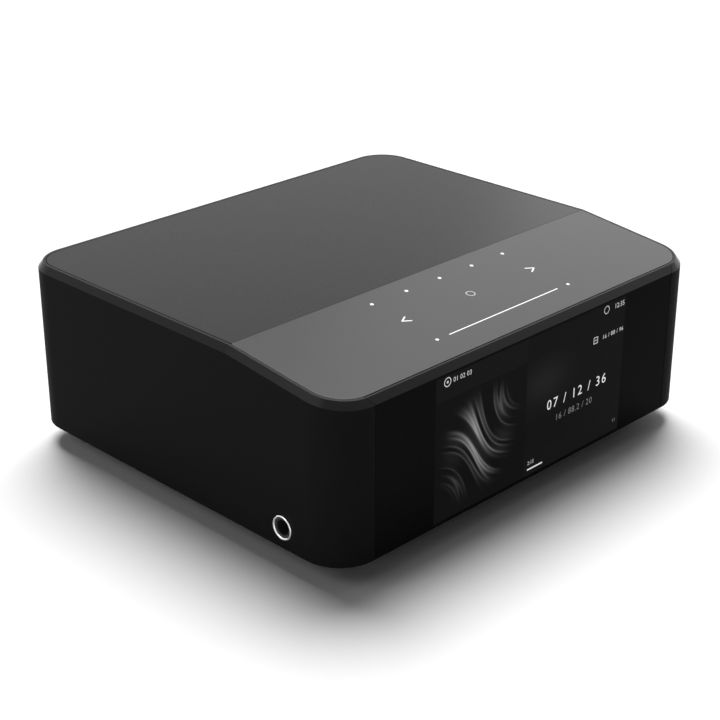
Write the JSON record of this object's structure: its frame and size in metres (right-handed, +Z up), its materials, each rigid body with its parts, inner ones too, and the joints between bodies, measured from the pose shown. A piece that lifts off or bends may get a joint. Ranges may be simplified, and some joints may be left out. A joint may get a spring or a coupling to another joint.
{
  "type": "network music streamer",
  "caption": "Low black music streamer with a display behind its glass front, a sloping touch strip on top, side headphone sockets and a recessed socket bay at the rear.",
  "frame": {"origin": "on the table under the middle of the body", "axes": "+X to the right seen from the front, -Y out of the display, +Z up"},
  "size_m": [0.2206, 0.192, 0.084],
  "materials": {
    "shell": "fine matt black powder coat",
    "panel": "fine matt dark grey coat",
    "touch": "satin dark grey glass, printed on the back",
    "window": "smoked black glass",
    "plastic": "moulded black",
    "rubber": "matt",
    "steel": "plated sheet",
    "screw": "zinc plated",
    "gold": "gold plated",
    "board": "solder mask",
    "copper": "enamelled copper",
    "ivory": "plain",
    "core": "moulded insulator",
    "chrome": "polished",
    "sink": "anodised",
    "display": "black glass cell"
  },
  "bodies": {
    "body": {"housing": "shell", "top_panel": "panel", "touch_panel": "touch", "top_carrier": "plastic", "light_mask": "rubber", "touch_leds": "ivory", "touch_board": "board", "touch_ribbon": "ivory", "inner_screws": "screw", "front_window": "window", "window_tape": "rubber", "lcd_panel": "display", "lcd_backlight": "ivory", "display_bracket": "steel", "display_board": "board", "display_ribbon": "ivory", "base_plate": "panel", "base_screws": "screw", "feet": "rubber", "foot_screws": "screw", "mains_plate": "shell", "digital_plate": "shell", "output_plate": "shell", "rear_screws": "screw", "mains_inlet": "plastic", "mains_pins": "screw", "power_board": "board", "transformer_core": "rubber", "transformer_winding": "copper", "power_capacitors": "plastic", "power_choke": "copper", "main_board": "board", "processor": "plastic", "processor_heatsink": "sink", "radio_module": "steel", "aerials": "copper", "board_standoffs": "gold", "board_screws": "screw", "output_board": "board", "output_standoffs": "gold", "board_link": "plastic", "cable_headers": "ivory", "flat_cables": "rubber", "network_socket": "steel", "network_contacts": "gold", "port_shells": "steel", "port_tongues": "plastic", "optical_socket": "plastic", "shutter_spring": "steel", "small_jacks": "plastic", "phono_blocks": "plastic", "phono_sleeves": "gold", "phono_cores": "core", "xlr_shells": "plastic", "xlr_inserts": "plastic", "xlr_pins": "gold", "headphone_jacks": "plastic", "headphone_rings": "chrome", "headphone_boards": "board"},
    "shutter": {"optical_shutter": "plastic"}
  },
  "joints": [
    {"name": "shutter_swing", "type": "hinge", "parent": "body", "child": "shutter", "pos_m": [0.03751, 0.08365, 0.031], "axis": [-1, 0, 0], "range_deg": [0, 80], "stiffness_Nm_per_rad": 0.0004, "springref_deg": -17.19, "deforming": ["shutter_spring"]}
  ]
}
